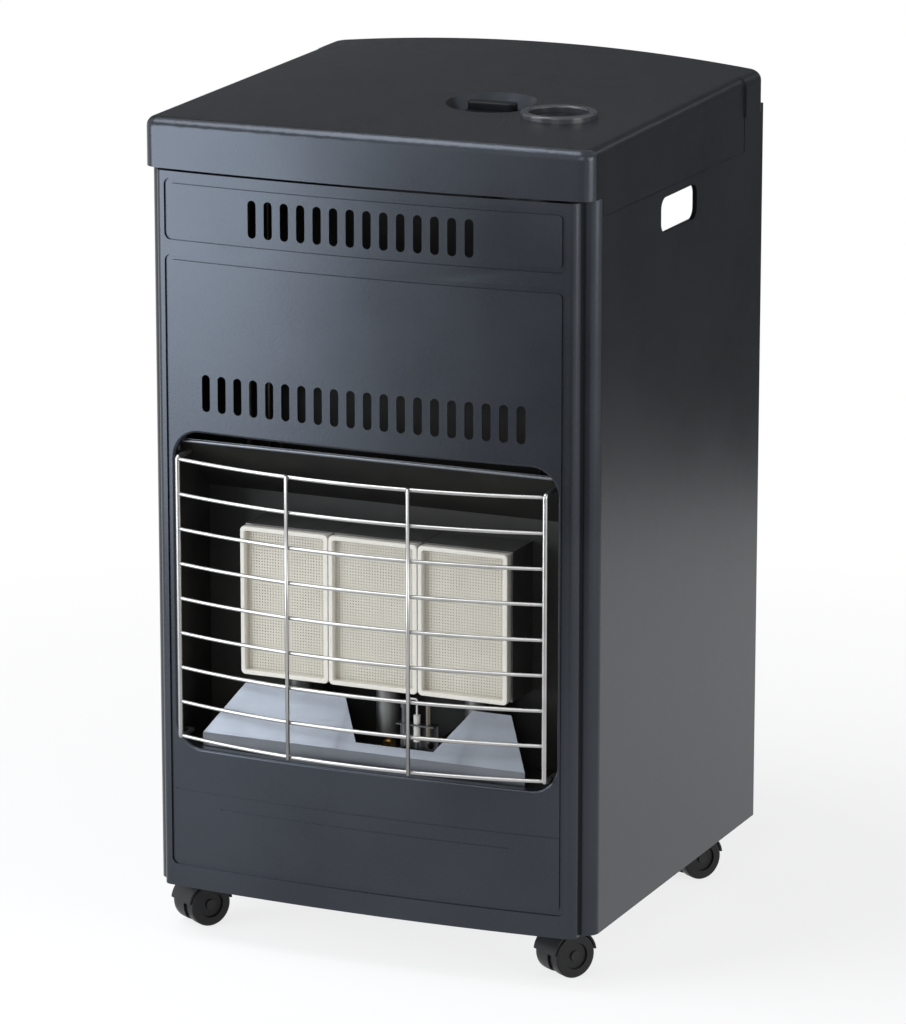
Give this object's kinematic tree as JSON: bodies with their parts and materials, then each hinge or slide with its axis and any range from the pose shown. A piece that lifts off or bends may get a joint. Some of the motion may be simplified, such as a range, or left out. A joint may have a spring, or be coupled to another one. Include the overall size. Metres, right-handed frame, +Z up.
{
  "type": "portable gas cabinet heater",
  "caption": "Free-standing gas cabinet heater with a bowed front panel, wire-guarded radiant plaques, lid controls, side hand-holes and swivel casters.",
  "frame": {"origin": "on the floor under the middle of the bounding box", "axes": "+Z up, -Y towards the front with the burner, +X to the right seen from the front"},
  "size_m": [0.424, 0.4424, 0.7606],
  "materials": {
    "painted_steel": "semi-gloss dark blue-grey powder coat",
    "galvanised_steel": "plain zinc-coated sheet",
    "dark_enamel": "heat-darkened matt enamel",
    "bright_steel": "bright rolled stainless sheet",
    "chromed_wire": "bright plated wire",
    "aluminised_steel": "dull aluminised sheet",
    "ceramic": "matt perforated cream ceramic",
    "white_gasket": "matt white fibre",
    "brass": "turned",
    "dull_pipe": "dull drawn tube, darkened by heat",
    "white_ceramic_sleeve": "glazed white ceramic",
    "lead_rubber": "matt black sleeve",
    "cast_valve": "die-cast",
    "black_plastic": "moulded, slightly glossy",
    "collar_plastic": "moulded, glossy",
    "piezo_plastic": "moulded",
    "screw_steel": "zinc plated",
    "caster_steel": "zinc plated",
    "caster_plastic": "moulded nylon",
    "wheel_plastic": "moulded nylon"
  },
  "bodies": {
    "cabinet": {"side_panel_right": "painted_steel", "side_panel_left": "painted_steel", "front_panel": "painted_steel", "top_cover": "painted_steel", "base_tray": "galvanised_steel", "heat_shield": "dark_enamel", "front_top_rail": "galvanised_steel", "rear_top_rail": "painted_steel", "burner_housing": "dark_enamel", "lower_reflector": "bright_steel", "wire_guard": "chromed_wire", "burner_body_left": "aluminised_steel", "burner_body_centre": "aluminised_steel", "burner_body_right": "aluminised_steel", "ceramic_plaque_left": "ceramic", "ceramic_plaque_centre": "ceramic", "ceramic_plaque_right": "ceramic", "plaque_frames": "white_gasket", "mixing_tubes": "aluminised_steel", "injectors": "brass", "gas_manifold": "aluminised_steel", "burner_feed_pipe": "dull_pipe", "pilot_pipe": "dull_pipe", "pilot_bracket": "bright_steel", "pilot_burner": "bright_steel", "spark_electrode": "white_ceramic_sleeve", "spark_lead": "lead_rubber", "thermocouple": "dull_pipe", "valve_bracket": "galvanised_steel", "gas_valve": "cast_valve", "hose_tail": "brass", "igniter_collar": "collar_plastic", "piezo_igniter": "piezo_plastic", "panel_screws": "screw_steel", "lid_screws": "screw_steel", "rear_screws": "screw_steel", "tray_screws": "screw_steel", "caster_bolts": "screw_steel", "caster_plates": "caster_steel"},
    "rear_cover": {"rear_cover": "painted_steel"},
    "valve_spindle": {"valve_spindle": "bright_steel"},
    "control_knob": {"control_knob": "black_plastic"},
    "igniter_button": {"igniter_button": "black_plastic"},
    "caster_front_left": {"caster_hood_front_left": "caster_plastic", "caster_axle_front_left": "caster_steel"},
    "wheel_left_front_left": {"wheel_left_front_left": "wheel_plastic"},
    "wheel_right_front_left": {"wheel_right_front_left": "wheel_plastic"},
    "caster_front_right": {"caster_hood_front_right": "caster_plastic", "caster_axle_front_right": "caster_steel"},
    "wheel_left_front_right": {"wheel_left_front_right": "wheel_plastic"},
    "wheel_right_front_right": {"wheel_right_front_right": "wheel_plastic"},
    "caster_rear_left": {"caster_hood_rear_left": "caster_plastic", "caster_axle_rear_left": "caster_steel"},
    "wheel_left_rear_left": {"wheel_left_rear_left": "wheel_plastic"},
    "wheel_right_rear_left": {"wheel_right_rear_left": "wheel_plastic"},
    "caster_rear_right": {"caster_hood_rear_right": "caster_plastic", "caster_axle_rear_right": "caster_steel"},
    "wheel_left_rear_right": {"wheel_left_rear_right": "wheel_plastic"},
    "wheel_right_rear_right": {"wheel_right_rear_right": "wheel_plastic"}
  },
  "joints": [
    {"name": "rear_cover_lift", "type": "slide", "parent": "cabinet", "child": "rear_cover", "axis": [0, 0, 1], "range_m": [0, 0.012]},
    {"name": "spindle_press", "type": "slide", "parent": "cabinet", "child": "valve_spindle", "axis": [0, 0, -1], "range_m": [0, 0.003], "stiffness_N_per_m": 2000, "springref_m": -0.001},
    {"name": "knob_turn", "type": "hinge", "parent": "valve_spindle", "child": "control_knob", "pos_m": [0.058, -0.04054, 0.74], "axis": [0, 0, 1], "range_deg": [0, 180]},
    {"name": "igniter_press", "type": "slide", "parent": "cabinet", "child": "igniter_button", "axis": [0, 0, -1], "range_m": [0, 0.006], "stiffness_N_per_m": 1500, "springref_m": -0.001},
    {"name": "swivel_front_left", "type": "hinge", "parent": "cabinet", "child": "caster_front_left", "pos_m": [-0.177, -0.11754, 0.05], "axis": [0, 0, 1], "continuous": true},
    {"name": "roll_left_front_left", "type": "hinge", "parent": "caster_front_left", "child": "wheel_left_front_left", "pos_m": [-0.18618, -0.13184, 0.02], "axis": [0.8415, -0.5402, 0], "continuous": true},
    {"name": "roll_right_front_left", "type": "hinge", "parent": "caster_front_left", "child": "wheel_right_front_left", "pos_m": [-0.18618, -0.13184, 0.02], "axis": [0.8415, -0.5402, 0], "continuous": true},
    {"name": "swivel_front_right", "type": "hinge", "parent": "cabinet", "child": "caster_front_right", "pos_m": [0.177, -0.11754, 0.05], "axis": [0, 0, 1], "continuous": true},
    {"name": "roll_left_front_right", "type": "hinge", "parent": "caster_front_right", "child": "wheel_left_front_right", "pos_m": [0.16782, -0.13184, 0.02], "axis": [0.8415, -0.5402, 0], "continuous": true},
    {"name": "roll_right_front_right", "type": "hinge", "parent": "caster_front_right", "child": "wheel_right_front_right", "pos_m": [0.16782, -0.13184, 0.02], "axis": [0.8415, -0.5402, 0], "continuous": true},
    {"name": "swivel_rear_left", "type": "hinge", "parent": "cabinet", "child": "caster_rear_left", "pos_m": [-0.177, 0.18746, 0.05], "axis": [0, 0, 1], "continuous": true},
    {"name": "roll_left_rear_left", "type": "hinge", "parent": "caster_rear_left", "child": "wheel_left_rear_left", "pos_m": [-0.18618, 0.17316, 0.02], "axis": [0.8415, -0.5402, 0], "continuous": true},
    {"name": "roll_right_rear_left", "type": "hinge", "parent": "caster_rear_left", "child": "wheel_right_rear_left", "pos_m": [-0.18618, 0.17316, 0.02], "axis": [0.8415, -0.5402, 0], "continuous": true},
    {"name": "swivel_rear_right", "type": "hinge", "parent": "cabinet", "child": "caster_rear_right", "pos_m": [0.177, 0.18746, 0.05], "axis": [0, 0, 1], "continuous": true},
    {"name": "roll_left_rear_right", "type": "hinge", "parent": "caster_rear_right", "child": "wheel_left_rear_right", "pos_m": [0.16782, 0.17316, 0.02], "axis": [0.8415, -0.5402, 0], "continuous": true},
    {"name": "roll_right_rear_right", "type": "hinge", "parent": "caster_rear_right", "child": "wheel_right_rear_right", "pos_m": [0.16782, 0.17316, 0.02], "axis": [0.8415, -0.5402, 0], "continuous": true}
  ]
}
